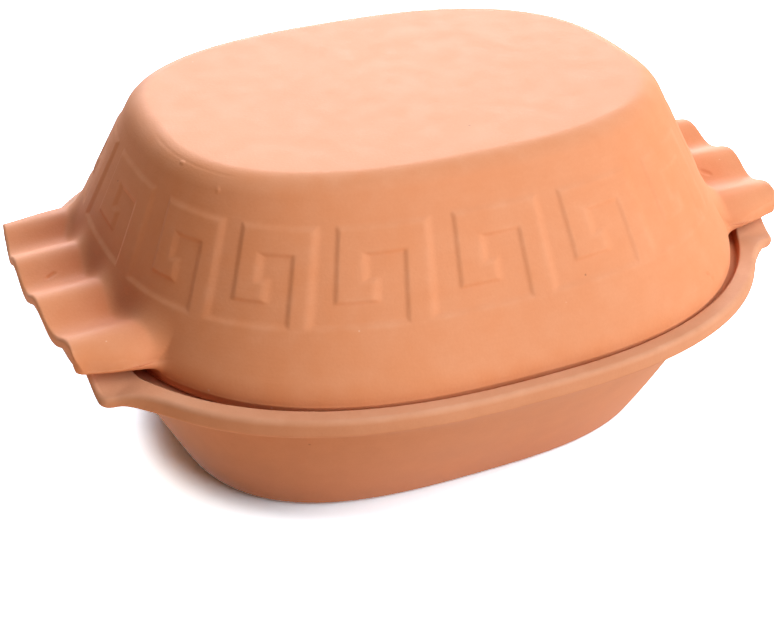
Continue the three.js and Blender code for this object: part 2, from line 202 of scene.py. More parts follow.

# Painted shade: the clay colour is made darker and redder in the hollows and corners of each piece; the
# reach is in metres
PAINTED_HOLLOW_SHADE = (0.74, 0.43, 0.28)
PAINTED_SHADE_REACH = 0.06
PAINTED_SHADE_DEEP = 0.55
PAINTED_SHADE_OPEN = 0.95

# Clay texture: noises by cells per metre, the share of colour that each one changes, bumps in metres
CLOUDS = Noise(14, 3, 0.35, 0.68)
MOTTLE = Noise(85, 4, 0.34, 0.70)
GRAIN = Noise(900, 3, 0.30, 0.72)
STREAKS = Noise(40, 3, 0.40, 0.72)
STREAK_SQUEEZE = 22
IRON = Specks(95, 0.055, 0.05)
GROG = Specks(150, 0.07, 0.03)
SPECK_CORE = 0.4
CLOUD_SHARE = 0.22
MOTTLE_SHARE = 0.16
STREAK_SHARE = 0.06
GRAIN_SHARE = 0.16
WEAR_HIGHLIGHT_SHARE = 0.35
IRON_SHARE = 0.55
GROG_SHARE = 0.50
ROUGH_LOW = 0.58
ROUGH_HIGH = 0.66
SPECULAR = 0.2
SHEEN = 0.03
SHEEN_ROUGHNESS = 0.5
GRAIN_BUMP = Bump(0.09, 0.00025)
STREAK_BUMP = Bump(0.03, 0.0003)
PIT_BUMP = Bump(0.3, -0.0004)

# Mould line: a fine groove just below the top, from the left end round to the front
MOULD_START = 3 * math.pi
MOULD_SWEEP = math.radians(40)
MOULD_START_Z = 153.9
MOULD_END_Z = 153.2
MOULD_HALF_HEIGHT = 0.4
MOULD_DEPTH = 0.09
MOULD_FADE = 0.15

# Marks in the clay: burrs by the mould line, pits and dents
LID_SCARS = [
    Scar([(-109.7, -33.6, 153.3), (-109.3, -34.6, 153.2)], 1.3, 0.4),
    Scar([(-102.2, -55.0, 150.4), (-102.4, -55.6, 148.8)], 1.2, 0.5),
    Scar([(97.2, -107.7, 90.6), (97.8, -107.5, 90.2)], 2.6, 0.35),
    Scar([(97.2, -107.7, 90.6), (97.8, -107.5, 90.2)], 1.3, -0.8),
    Scar([(100.0, -107.9, 87.8), (100.4, -107.9, 87.2)], 1.4, -0.4),
    Scar([(147.5, -29.0, 93.6), (150.0, -31.0, 93.6)], 2.2, -0.4),
    Scar([(-160.5, 4.0, 93.2), (-157.5, 5.6, 93.0)], 1.6, -0.5),
]
LID_SPOTS = [
    Spot((8.4, -54.8, 155.0), 0.8, SPECK_TONE),
    Spot((-122.4, -90.2, 81.5), 0.7, GROG_TONE),
    Spot((-103.0, -108.0, 78.5), 0.7, GROG_TONE),
]
DISH_SPOTS = [Spot((-86.5, -104.6, 54.1), 0.8, SPECK_TONE)]
SPOT_SHARE = 0.6

# Lamps: soft suns with the shares of light that they give; azimuth 0 is in front and 90 on the right
PLAIN = (1.0, 1.0, 1.0)
COOL = (0.97, 1.01, 1.08)
LAMPS = [
    Lamp("backdrop_low", 158, 16, 1.08, COOL),
    Lamp("backdrop_high", 168, 48, 0.2, COOL),
    Lamp("window_low", 50, 12, 0.36, PLAIN),
    Lamp("window_high", 30, 35, 0.28, PLAIN),
    Lamp("overhead_right", 54, 55, 0.56, PLAIN),
]
LAMP_ANGLE = math.radians(40)

# Floor: its colour for the light that it sends back, and how the camera sees it, with a painted contact
# shadow where its glow is dimmed near the object; distances in metres
FLOOR_TONE = (0.94, 0.65, 0.43, 1)
FLOOR_SHOWN = (1.6, 2.2, 2.6, 1)
FLOOR_GLOW = 0.80
PAINTED_SHADOW_REACH = 0.045
PAINTED_SHADOW_DARK = 0.39
PAINTED_SHADOW_OPEN = 0.54
WHITE = (1, 1, 1, 1)
FLOOR_HALF = 6.0
FLOOR_DROP = 0.0002

# Camera: focal length and shifts in pixels of the photo, clip distances in metres
PHOTO_WIDTH = 774
FOCAL_PIXELS = 1611.0
SENSOR_WIDTH = 36.0
CAMERA_AZIMUTH = math.radians(-24.786)
CAMERA_ELEVATION = math.radians(31.17)
CAMERA_ROLL = math.radians(-0.09)
CAMERA_TARGET = Vector((0.65, -0.31, 33.65))
CAMERA_DISTANCE = 768.83
CENTRE_SHIFT_X = 10.6
CENTRE_SHIFT_Y = 0.21
CLIP_START = 0.05
CLIP_END = 50


# Ovals and grips in plan, and the columns that run outwards to the outline

def mix(low, high, share):
    return low + (high - low) * share


def smooth_step(share):
    share = np.clip(share, 0, 1)
    return share * share * (3 - 2 * share)


def soft_max(first, second, reach):
    """Greater of two heights, with a fillet where they meet."""
    overlap = np.maximum(reach - np.abs(first - second), 0)
    return np.maximum(first, second) + overlap**2 / (4 * reach)


def bezier(first, middle, last, share):
    return (1 - share) ** 2 * first + 2 * share * (1 - share) * middle + share**2 * last


def oval_point(oval, t):
    c = np.cos(t)
    s = np.sin(t)
    x = oval.a * np.sign(c) * np.abs(c) ** (2 / oval.power)
    y = oval.b * np.sign(s) * np.abs(s) ** (2 / oval.power)
    return np.stack([x, y], axis=-1)


def oval_share(x, y, oval):
    """1 on the oval, less inside it."""
    return (np.abs(x / oval.a) ** oval.power + np.abs(y / oval.b) ** oval.power) ** (1 / oval.power)


def oval_between(low, high, z):
    share = (z - low.z) / (high.z - low.z)
    return Oval(z, *(mix(one, other, share) for one, other in zip(low[1:], high[1:])))


def grip_half_width(x, grip):
    end_corner = grip.reach - grip.bow * grip.half_width**2
    inwards = soft_max(end_corner - np.abs(x), 0, FLARE_EASE)
    return grip.half_width - grip.flare * soft_max(-inwards, -grip.flare_run, FLARE_EASE)


def grip_distance(x, y, grip):
    """How far a plan point is outside a grip, whose end bows out and whose sides flare to the wall."""
    end = np.abs(x) - grip.reach + grip.bow * y * y + grip.corner
    side = np.abs(y) - grip_half_width(x, grip) + grip.corner
    outside = np.hypot(np.maximum(end, 0), np.maximum(side, 0))
    return outside + np.minimum(np.maximum(end, side), 0) - grip.corner


def grip_crest(x, y, grip):
    """Height of a grip's wavy top, before its flanks fall away."""
    wave = np.where(np.abs(y) < OUTER_CREST, -np.cos(2 * np.pi * y / WAVE_PITCH), 1.0)
    return grip.level + grip.slope * (grip.reach - np.abs(x)) + WAVE_HEIGHT * wave - GRIP_SAG * y * y


def lid_grip_height(x, y):
    """Height of the lid's grip, whose flanks round over from the outer crest down to the grip's foot."""
    half_width = grip_half_width(x, LID_GRIP)
    past = np.clip((np.abs(y) - OUTER_CREST) / (half_width - OUTER_CREST), 0, 1)
    rounded = 1 - (1 - past**LID_FLANK_POWER) ** (1 / LID_FLANK_POWER)
    beyond = LID_FLANK_FALL * np.maximum(np.abs(y) - half_width, 0)
    return mix(grip_crest(x, y, LID_GRIP), LID_FLANK_FOOT_Z, rounded) - beyond


def lid_surface(wall_z, x, y):
    """Height of the lid where its wall meets a grip."""
    return soft_max(wall_z, lid_grip_height(x, y), GRIP_FILLET)


def dish_grip_height(x, y):
    past = np.clip((np.abs(y) - OUTER_CREST) / DISH_FLANK_WIDTH, 0, 1)
    return grip_crest(x, y, DISH_GRIP) - DISH_FLANK_DROP * np.sin(past * np.pi / 2)


def halve(outside, low, high):
    """Values between low and high at which outside turns positive."""
    for _ in range(HALVINGS):
        middle = (low + high) / 2
        over = outside(middle) > 0
        high = np.where(over, middle, high)
        low = np.where(over, low, middle)
    return (low + high) / 2


def columns_at(t, upper, lower, grip):
    """Columns of a piece at parameter angles t: root in plan, outward direction and outline's reach."""
    root = oval_point(lower, t)
    run = root - oval_point(upper, t)
    length = np.hypot(run[:, 0], run[:, 1])
    out = run / length[:, None]

    def outside(distance):
        x = root[:, 0] + out[:, 0] * distance
        y = root[:, 1] + out[:, 1] * distance
        wall = np.hypot(x, y) * (1 - 1 / oval_share(x, y, lower))
        return -soft_max(-wall, -grip_distance(x, y, grip), grip.join)

    reach = halve(outside, np.full_like(t, OUTLINE_NEAREST), np.full_like(t, OUTLINE_FARTHEST))
    return Columns(t, root, out, length, reach, smooth_step(reach / GRIP_FADE))


def spread_columns(count, upper, lower, grip):
    """Columns at even steps along the outline, closer together on the grips."""
    samples = columns_at(sample_angles(), upper, lower, grip)
    edge = samples.root + samples.out * samples.reach[:, None]
    steps = np.hypot(*np.diff(edge, axis=0).T) * mix(1, GRIP_DENSITY, samples.grip[1:])
    lengths = np.concatenate([[0], np.cumsum(steps)])
    stops = np.linspace(0, lengths[-1], count, endpoint=False)
    return columns_at(np.interp(stops, lengths, samples.t), upper, lower, grip)


def sample_angles():
    front = 1.5 * np.pi
    return np.linspace(front, front + 2 * np.pi, OUTLINE_SAMPLES + 1)


def along(columns, distance):
    """Plan places at a distance outwards along each column."""
    return (columns.root + columns.out * np.broadcast_to(distance, columns.t.shape)[:, None]).T


def ring(x, y, z, wear=0.0):
    shape = np.shape(x)
    points = np.stack([x, y, np.broadcast_to(z, shape)], axis=-1)
    return Ring(points, np.broadcast_to(wear, shape))


def flat_rings(edge, shares, count):
    """Rings on a flat face, at even steps between two shares of its edge."""
    x, y, z = edge.points.T
    for share in np.linspace(*shares, count):
        yield ring(x * share, y * share, z)


def rings_between(start, end, count):
    """Rings on straight lines from one ring to another, without the first."""
    for share in np.linspace(0, 1, count)[1:]:
        yield ring(*mix(start.points, end.points, share).T)


# Key band

BAND_MIDDLE_Z = (BAND_TOP_Z + BAND_BOTTOM_Z) / 2
BAND_START_Z = BAND_TOP_Z + RELIEF_SOFT
BAND_END_Z = BAND_BOTTOM_Z - RELIEF_SOFT
BAND_ANGLES = sample_angles()
BAND_OVAL = oval_between(LID_FOLD, LID_TOP, BAND_MIDDLE_Z)
BAND_STEPS = np.hypot(*np.diff(oval_point(BAND_OVAL, BAND_ANGLES), axis=0).T)
BAND_LENGTHS = np.concatenate([[0], np.cumsum(BAND_STEPS)])
BAND_LENGTH = BAND_LENGTHS[-1]


def box_depth(position, z, left, right, low, high):
    """How deep a place on the wall is inside an upright rectangle, whose right edge is gentler."""
    across = np.maximum(left - position, (position - right) * RELIEF_GENTLE)
    upright = np.maximum(low - z, z - high)
    outside = np.hypot(np.maximum(across, 0), np.maximum(upright, 0))
    return -(outside + np.minimum(np.maximum(across, upright), 0))


def key_depth(position, z):
    """How deep a place on the lid's wall is inside the raised key line or the raised wall below it."""
    depth = BAND_BOTTOM_Z - z + np.zeros_like(position)
    widths = np.array(KEY_WIDTHS * 2) * BAND_LENGTH / (2 * sum(KEY_WIDTHS))
    starts = KEY_START + np.concatenate([[0], np.cumsum(widths)[:-1]])
    upright = position - KEY_LEAN * (z - BAND_MIDDLE_Z)
    for start, width in zip(starts, widths):
        past = (upright - start + BAND_LENGTH / 2) % BAND_LENGTH - BAND_LENGTH / 2
        bars = [
            (0, LEFT_BAR, HOOK_FOOT_Z, BAND_TOP_Z),
            (0, RIGHT_BAR_END, BAR_UNDERSIDE_Z, BAND_TOP_Z),
            (0, HOOK_TIP, HOOK_FOOT_Z, HOOK_TOP_Z),
            (RIGHT_BAR_START, RIGHT_BAR_END, BAND_END_Z, BAND_TOP_Z),
        ]
        for left, right, low, high in bars:
            depth = np.maximum(depth, box_depth(past, z, left * width, right * width, low, high))
    return depth


# Lid

LID_HEIGHT = LID_TOP.z - LID_FOLD.z


def wall_run(columns, z):
    """Distance along the columns at which the lid's wall has height z."""
    return -columns.length * (z - LID_FOLD.z) / LID_HEIGHT


def wall_height(columns, run):
    return LID_FOLD.z - run * LID_HEIGHT / columns.length


def wall_lean(columns):
    """Angle of the lid's wall from upright."""
    return np.arctan(columns.length / LID_HEIGHT)


def edge_ring(columns, inset, top, radius, share):
    """Ring on the round between the lid's wall, at share 0, and its flat top or roof, at share 1."""
    lean = wall_lean(columns)
    angle = mix(lean, np.pi / 2, share)
    start = wall_run(columns, top - radius * (1 - np.sin(lean))) - inset
    distance = start + radius * (np.cos(angle) - np.cos(lean))
    return ring(*along(columns, distance), top - radius * (1 - np.sin(angle)))


def mould_groove(t, z):
    """Depth of the mould line at parameter angles t and heights z of the rounded top edge."""
    share = (t - MOULD_START) / MOULD_SWEEP
    line_z = mix(MOULD_START_Z, MOULD_END_Z, share)
    fade = smooth_step(share / MOULD_FADE) * smooth_step((1 - share) / MOULD_FADE)
    return MOULD_DEPTH * fade * np.clip(1 - ((z - line_z) / MOULD_HALF_HEIGHT) ** 2, 0, 1) ** 2


def lid_top_rings(columns):
    """Flat top and its rounded edge."""
    flat = edge_ring(columns, RELIEF, LID_TOP.z, LID_TOP_RADIUS, 1.0)
    yield from flat_rings(flat, TOP_RINGS, LID_STEPS["top"])
    for share in np.linspace(1, 0, LID_STEPS["top_edge"]):
        x, y, z = edge_ring(columns, RELIEF, LID_TOP.z, LID_TOP_RADIUS, share).points.T
        # The rounded top edge is made paler: partly worn clay, partly a painted highlight
        yield ring(x, y, z - mould_groove(columns.t, z), TOP_WEAR_HIGHLIGHT * math.sin(math.pi * share))


def band_height(columns, level):
    """Height of a level of the key band, which is as wide along a steep wall as along a flat one."""
    upright = np.cos(wall_lean(columns))
    return BAND_MIDDLE_Z + (level - BAND_MIDDLE_Z) * (upright / upright.min())


def band_relief(columns):
    """How far the key line stands out; it is worn down towards the right end."""
    return RELIEF * mix(1, RELIEF_WORN, smooth_step(columns.root[:, 0] / LID_FOLD.a))


def lid_band_rings(columns):
    """Wall from the top's edge to the key band, and the band with its raised line."""
    edge_foot = LID_TOP.z - LID_TOP_RADIUS * (1 - np.sin(wall_lean(columns)))
    for share in np.linspace(*UPPER_WALL_RINGS, LID_STEPS["upper_wall"]):
        z = mix(edge_foot, band_height(columns, BAND_START_Z), share)
        yield ring(*along(columns, wall_run(columns, z) - RELIEF), z)
    position = np.interp(columns.t, BAND_ANGLES, BAND_LENGTHS)
    relief = band_relief(columns)
    for level in np.linspace(BAND_START_Z, BAND_END_Z, LID_STEPS["band"]):
        z = band_height(columns, level)
        depth = key_depth(position, level)
        raised = smooth_step(depth / RELIEF_SOFT + 0.5)
        x, y = along(columns, wall_run(columns, z) - RELIEF + relief * raised)
        # Edges of the raised key line are made paler: partly worn clay, partly a painted highlight
        wear = BAND_WEAR_HIGHLIGHT * np.exp(-(((depth - BAND_WEAR_HIGHLIGHT_DEPTH) / BAND_WEAR_HIGHLIGHT_WIDTH) ** 2))
        yield ring(x, y, lid_surface(z, x, y), wear)


def fold_radius_at(columns):
    """Radius of the fold, which is wider towards the ends."""
    return mix(FOLD_RADIUS_SIDE, FOLD_RADIUS_END, smooth_step(np.abs(columns.root[:, 0]) / FOLD_CHANGE))


def fold_run(columns, lean):
    """Distance along the columns at which the fold leans by an angle from upright."""
    return -fold_radius_at(columns) * (1 - np.cos(lean))


def flank_share(columns):
    """1 at the flanks of a lid grip, 0 at its end."""
    edge_y = along(columns, columns.reach)[1]
    return smooth_step((np.abs(edge_y) - FLANK_START) / FLANK_CHANGE)


def flank_round(columns):
    """Round at the foot of a lid grip's flank, which is wider near the wall."""
    return mix(FLANK_FOOT_ROUND, GRIP_FOOT_ROUND, smooth_step(columns.reach / FLANK_ROUND_REACH))


def foot_round_at(columns):
    """Round at the foot of a lid grip's edge, along its end and its flanks."""
    return mix(GRIP_FOOT_ROUND, flank_round(columns), flank_share(columns))


def lid_lower_rings(columns):
    """From the band down to the outline, where the wall and the grip's top are one surface."""
    start = wall_run(columns, band_height(columns, BAND_END_Z))
    end = mix(fold_run(columns, wall_lean(columns)), columns.reach - GRIP_ROUND, columns.grip)
    sunk = RELIEF - band_relief(columns)
    foot_round = flank_round(columns)
    for share in np.linspace(0, 1, LID_STEPS["lower_wall"])[1:]:
        run = mix(start, end, share)
        x, y = along(columns, run - sunk * (1 - share))
        z = lid_surface(wall_height(columns, run), x, y)
        grip_z = soft_max(z, GRIP_LOW_Z + foot_round, 2 * foot_round)
        yield ring(x, y, mix(z, grip_z, columns.grip))


def grip_profile(columns, top):
    """Distance, height and paling at each step round the edge of a lid grip, from top to underside; the
    paling is partly worn clay and partly a painted highlight.
    """
    reach = columns.reach
    flank = flank_share(columns)
    foot_round = foot_round_at(columns)
    low = mix(np.maximum(top - GRIP_THICKNESS, GRIP_LOW_Z), GRIP_LOW_Z, flank)
    for angle in np.linspace(0, np.pi / 2, LID_STEPS["grip_edge"])[1:]:
        run = reach - GRIP_ROUND * (1 - np.sin(angle))
        end_z = top - GRIP_ROUND * (1 - np.cos(angle))
        flank_z = np.maximum(lid_grip_height(*along(columns, run)), low + foot_round)
        side_z = mix(end_z, flank_z, flank)
        yield run, side_z, EDGE_WEAR_HIGHLIGHT * np.cos(angle / 2) ** 2
    for share in np.linspace(0, 1, LID_STEPS["grip_side"])[1:-1]:
        yield reach, mix(side_z, low + foot_round, share), SIDE_WEAR_HIGHLIGHT
    for angle in np.linspace(0, np.pi / 2, LID_STEPS["grip_foot"]):
        run = reach - foot_round * (1 - np.cos(angle))
        yield run, low + foot_round * (1 - np.sin(angle)), SIDE_WEAR_HIGHLIGHT


def lid_edge_rings(columns, top):
    """Round the grip's edge, or round the fold where there is no grip."""
    lean = wall_lean(columns)
    fold_radius = fold_radius_at(columns)
    fold_foot = LID_FOLD.z - fold_radius * np.tan(lean / 2)
    fold_rise = top - fold_foot - fold_radius * np.sin(lean)
    profile = list(grip_profile(columns, top))
    for index, (grip_run, grip_z, wear) in enumerate(profile):
        share = (index + 1) / len(profile)
        angle = mix(lean, FOLD_END_LEAN, share)
        fold_z = fold_foot + fold_radius * np.sin(angle) + fold_rise * (1 - share)
        x, y = along(columns, mix(fold_run(columns, angle), grip_run, columns.grip))
        yield ring(x, y, mix(fold_z, grip_z, columns.grip), wear * columns.grip)


def lid_skirt_rings(columns, foot_z):
    """Underside of the grip, back to the skirt, and the skirt with its rounded foot."""
    foot_run = mix(fold_run(columns, FOLD_END_LEAN), columns.reach - foot_round_at(columns), columns.grip)
    under = np.maximum(lid_grip_height(*along(columns, SKIRT_FLARE)) - GRIP_THICKNESS, SKIRT_TOP_Z)
    skirt_top = mix(SKIRT_TOP_Z, under, columns.grip)
    wavy = columns.grip * (1 - flank_share(columns))
    for share in np.linspace(0, 1, LID_STEPS["grip_underside"])[1:]:
        x, y = along(columns, mix(foot_run, SKIRT_FLARE, share))
        flat_z = mix(foot_z, skirt_top, share)
        wave_z = np.maximum(lid_grip_height(x, y) - GRIP_THICKNESS, np.minimum(flat_z, GRIP_LOW_Z))
        yield ring(x, y, mix(flat_z, wave_z, wavy))
    for share in np.linspace(0, 1, LID_STEPS["skirt"])[1:]:
        x, y = along(columns, SKIRT_FLARE - SKIRT_TAPER * share)
        yield ring(x, y, mix(skirt_top, SKIRT_ROUND_Z, share))
    outer_run = SKIRT_FLARE - SKIRT_TAPER - SKIRT_ROUND
    inner_run = SKIRT_ROUND - LID_WALL
    for run, sign in ((outer_run, 1), (inner_run, -1)):
        for angle in np.linspace(0, np.pi / 2, LID_STEPS["skirt_foot"])[::sign]:
            x, y = along(columns, run + sign * SKIRT_ROUND * np.cos(angle))
            yield ring(x, y, SKIRT_ROUND_Z - SKIRT_ROUND * np.sin(angle))


def lid_inside_rings(columns):
    """Inside of the wall, from the skirt's foot up to the roof."""
    for z in np.linspace(SKIRT_ROUND_Z, LID_FOLD.z, LID_STEPS["skirt_inside"])[1:]:
        yield ring(*along(columns, -LID_WALL), z)
    roof = LID_TOP.z - LID_ROOF
    round_foot = roof - LID_INNER_RADIUS * (1 - np.sin(wall_lean(columns)))
    for share in np.linspace(0, 1, LID_STEPS["inside"])[1:-1]:
        z = mix(LID_FOLD.z, round_foot, share)
        yield ring(*along(columns, wall_run(columns, z) - LID_WALL), z)
    for share in np.linspace(0, 1, LID_STEPS["inside_edge"]):
        flat = edge_ring(columns, LID_WALL, roof, LID_INNER_RADIUS, share)
        yield flat
    yield from flat_rings(flat, HIDDEN_RINGS, LID_STEPS["roof"])


def lid_rings():
    columns = spread_columns(LID_COLUMNS, LID_TOP, LID_FOLD, LID_GRIP)
    rings = [*lid_top_rings(columns), *lid_band_rings(columns), *lid_lower_rings(columns)]
    rings += lid_edge_rings(columns, rings[-1].points[:, 2])
    rings += lid_skirt_rings(columns, rings[-1].points[:, 2])
    rings += lid_inside_rings(columns)
    return rings


# Dish

def oval_ring(columns, oval, z, inset=0.0):
    x, y = (oval_point(oval, columns.t) - columns.out * inset).T
    return ring(x, y, z)


def dish_wall_ring(columns, z, inset=0.0):
    return oval_ring(columns, oval_between(DISH_BOTTOM, DISH_NECK, z), z, inset)


def dish_top_height(columns, x, y):
    """Height of the rim's top, or of a grip's."""
    return mix(RIM_TOP_Z, dish_grip_height(x, y), columns.grip)


def round_rings(columns, middle, radius, low_z, angles):
    """Rings on the round between a flat face and the dish's wall, at angles from the flat face."""
    for angle in angles:
        x, y = (middle + columns.out * radius * np.sin(angle)).T
        yield ring(x, y, low_z + radius * (1 - math.cos(angle)))


def dish_inside_rings(columns):
    """Floor, the round into the wall, the wall, and the slope up to the seat and its inner edge."""
    wall_foot = DISH_FLOOR + DISH_INNER_RADIUS * (1 - math.cos(DISH_CORNER_TURN))
    corner = dish_wall_ring(columns, wall_foot, DISH_WALL).points[:, :2]
    floor_edge = corner - columns.out * (DISH_INNER_RADIUS * math.sin(DISH_CORNER_TURN))
    yield from flat_rings(ring(*floor_edge.T, DISH_FLOOR), FLOOR_RINGS, DISH_STEPS["floor"])
    angles = np.linspace(0, DISH_CORNER_TURN, DISH_STEPS["floor_edge"])
    yield from round_rings(columns, floor_edge, DISH_INNER_RADIUS, DISH_FLOOR, angles)
    for z in np.linspace(wall_foot, SEAT_FOOT_Z, DISH_STEPS["inside"])[1:]:
        wall = dish_wall_ring(columns, z, DISH_WALL)
        yield wall
    seat_edge = oval_ring(columns, SEAT, SEAT.z)
    yield from rings_between(wall, seat_edge, DISH_STEPS["seat_slope"])


def dish_seat_rings(columns, seat_edge):
    """Seat, the inner face of the rim and its rounded lip."""
    seat_outer = oval_ring(columns, RIM_INNER, SEAT.z, RIM_INNER_TAPER)
    yield from rings_between(seat_edge, seat_outer, DISH_STEPS["seat"])
    lip = oval_point(RIM_INNER, columns.t)
    lip_round = lip + columns.out * LIP_ROUND
    lip_top = dish_top_height(columns, *lip_round.T)
    face_top = ring(*lip.T, lip_top - LIP_ROUND)
    yield from rings_between(seat_outer, face_top, DISH_STEPS["rim_inside"])
    for angle in np.linspace(0, np.pi / 2, DISH_STEPS["lip"])[1:]:
        x, y = (lip_round - columns.out * LIP_ROUND * np.cos(angle)).T
        yield ring(x, y, lip_top - LIP_ROUND * (1 - np.sin(angle)), LIP_WEAR_HIGHLIGHT)


def dish_rim_rings(columns, lip_round):
    """Top of the rim and of the grips, and their outer edge down to the underside."""
    round_by = mix(RIM_ROUND, DISH_GRIP_ROUND, columns.grip)
    rim_run = columns.reach - round_by
    lip_run = ((lip_round - columns.root) * columns.out).sum(axis=1)
    side_step = lip_round - columns.root - columns.out * lip_run[:, None]
    for share in np.linspace(0, 1, DISH_STEPS["rim_top"])[1:]:
        x, y = along(columns, mix(lip_run, rim_run, share)) + side_step.T * (1 - share)
        top = dish_top_height(columns, x, y)
        yield ring(x, y, top, SIDE_WEAR_HIGHLIGHT)
    nose = mix(RIM_ROUND, DISH_GRIP_THICKNESS / 2, columns.grip)
    for angle in np.linspace(np.pi / 2, 0, DISH_STEPS["rim_edge"])[1:]:
        x, y = along(columns, rim_run + round_by * np.cos(angle))
        yield ring(x, y, top - nose * (1 - np.sin(angle)), EDGE_WEAR_HIGHLIGHT * np.sin(angle))
    face_foot = mix(RIM.z + RIM_FOOT_ROUND, top - nose, columns.grip)
    for share in np.linspace(0, 1, DISH_STEPS["rim_face"])[1:]:
        yield ring(*along(columns, columns.reach), mix(top - nose, face_foot, share))
    foot_round = mix(RIM_FOOT_ROUND, DISH_GRIP_ROUND, columns.grip)
    foot_z = mix(RIM.z, top - DISH_GRIP_THICKNESS, columns.grip)
    for angle in np.linspace(0, np.pi / 2, DISH_STEPS["rim_foot"])[1:]:
        x, y = along(columns, columns.reach - foot_round * (1 - np.cos(angle)))
        yield ring(x, y, mix(face_foot, foot_z, np.sin(angle)), FOOT_WEAR_HIGHLIGHT)


def dish_outside_rings(columns, under):
    """Underside of the rim, a hollow round into the wall, the wall and the flat bottom."""
    neck = dish_wall_ring(columns, DISH_NECK.z).points
    wall_top = dish_wall_ring(columns, DISH_NECK.z - NECK_FILLET).points
    fillet_share = NECK_FILLET / np.linalg.norm(under.points - neck, axis=1)
    fillet_share = np.minimum(fillet_share, NECK_FILLET_MOST)[:, None]
    fillet_start = mix(neck, under.points, fillet_share)
    yield from rings_between(under, ring(*fillet_start.T), DISH_STEPS["underside"])
    for share in np.linspace(0, 1, DISH_STEPS["neck"])[1:]:
        yield ring(*bezier(fillet_start, neck, wall_top, share).T)
    wall_foot = DISH_BOTTOM_RADIUS * (1 - math.cos(DISH_CORNER_TURN))
    for z in np.linspace(DISH_NECK.z - NECK_FILLET, wall_foot, DISH_STEPS["wall"])[1:]:
        wall = dish_wall_ring(columns, z)
        yield wall
    bottom_edge = wall.points[:, :2] - columns.out * (DISH_BOTTOM_RADIUS * math.sin(DISH_CORNER_TURN))
    angles = np.linspace(DISH_CORNER_TURN, 0, DISH_STEPS["bottom_edge"])[1:]
    yield from round_rings(columns, bottom_edge, DISH_BOTTOM_RADIUS, 0.0, angles)
    yield from flat_rings(ring(*bottom_edge.T, 0.0), HIDDEN_RINGS, DISH_STEPS["bottom"])


def dish_rings():
    columns = spread_columns(DISH_COLUMNS, DISH_BOTTOM, RIM, DISH_GRIP)
    rings = list(dish_inside_rings(columns))
    rings += dish_seat_rings(columns, rings[-1])
    rings += dish_rim_rings(columns, rings[-1].points[:, :2])
    rings += dish_outside_rings(columns, rings[-1])
    return rings


# Meshes

def scar_lift(points, scar):
    """How far a scar lifts each point: a soft ridge, or a groove, along its line."""
    line = np.array(scar.line)
    nearest = np.full(len(points), np.inf)
    for start, end in zip(line[:-1], line[1:]):
        span = end - start
        share = np.clip((points - start) @ span / (span @ span), 0, 1)
        nearest = np.minimum(nearest, np.linalg.norm(points - start - share[:, None] * span, axis=1))
    return scar.height * np.clip(1 - (nearest / scar.radius) ** 2, 0, 1) ** 2


def make_piece(name, rings, material, scars=()):
    """Closed mesh from rings of equal count, with a pole in the middle of its first and last ring."""
    count = len(rings[0].points)
    stacked = np.concatenate([one.points for one in rings])
    wear = np.concatenate([one.wear for one in rings])
    poles = np.stack([rings[0].points.mean(axis=0), rings[-1].points.mean(axis=0)])
    vertices = np.concatenate([stacked, poles])
    column = np.arange(count)
    following = (column + 1) % count
    faces = []
    for index in range(len(rings) - 1):
        here = index * count
        there = here + count
        corners = [here + column, there + column, there + following, here + following]
        faces.append(np.stack(corners, axis=1))
    quads = np.concatenate(faces)
    first = len(stacked)
    last_ring = (len(rings) - 1) * count
    caps = np.concatenate([
        np.stack([np.full(count, first), column, following], axis=1),
        np.stack([np.full(count, first + 1), last_ring + following, last_ring + column], axis=1),
    ])
    mesh = bpy.data.meshes.new(name)
    mesh.from_pydata((vertices * MM).tolist(), [], quads.tolist() + caps.tolist())
    # Per-vertex paling of edges: partly worn clay, partly a painted highlight
    mesh.attributes.new("wear", "FLOAT", "POINT").data.foreach_set("value", np.append(wear, [0, 0]))
    normals = np.empty(vertices.size)
    mesh.vertex_normals.foreach_get("vector", normals)
    for scar in scars:
        vertices = vertices + normals.reshape(-1, 3) * scar_lift(vertices, scar)[:, None]
    mesh.vertices.foreach_set("co", (vertices * MM).ravel())
    mesh.shade_smooth()
    mesh.update()
    mesh.materials.append(material)
    piece = bpy.data.objects.new(name, mesh)
    bpy.context.scene.collection.objects.link(piece)
    return piece


# Materials

def new_node(tree, kind, sockets=(), **settings):
    """Adds a node; a socket's value is a constant or the output socket that feeds it."""
    made = tree.nodes.new(kind)
    for key, value in settings.items():
        setattr(made, key, value)
    for key, value in dict(sockets).items():
        if isinstance(value, bpy.types.NodeSocket):
            tree.links.new(value, made.inputs[key])
        else:
            made.inputs[key].default_value = value
    return made


def spread(tree, value, low, high, to_low=0.0, to_high=1.0):
    """A value between two levels, spread over two others."""
    levels = {"Value": value, "From Min": low, "From Max": high, "To Min": to_low, "To Max": to_high}
    return new_node(tree, "ShaderNodeMapRange", levels).outputs["Result"]


def worked_out(tree, operation, first, second):
    return new_node(tree, "ShaderNodeMath", {0: first, 1: second}, operation=operation).outputs[0]


def open_share(tree, reach, only_local):
    """1 where nothing is near, less in hollows and corners."""
    around = {"Distance": reach}
    return new_node(tree, "ShaderNodeAmbientOcclusion", around, only_local=only_local).outputs["AO"]


def noise_share(tree, place, noise):
    """A noise, spread over 0 to 1 between two of its levels."""
    cells = {"Vector": place, "Scale": noise.scale, "Detail": noise.detail}
    grain = new_node(tree, "ShaderNodeTexNoise", cells).outputs["Fac"]
    return spread(tree, grain, noise.low, noise.high)


def blend_tone(tree, share, low, high, blend_type="MIX"):
    sockets = {"Fac": share, "Color1": low, "Color2": high}
    return new_node(tree, "ShaderNodeMixRGB", sockets, blend_type=blend_type).outputs["Color"]


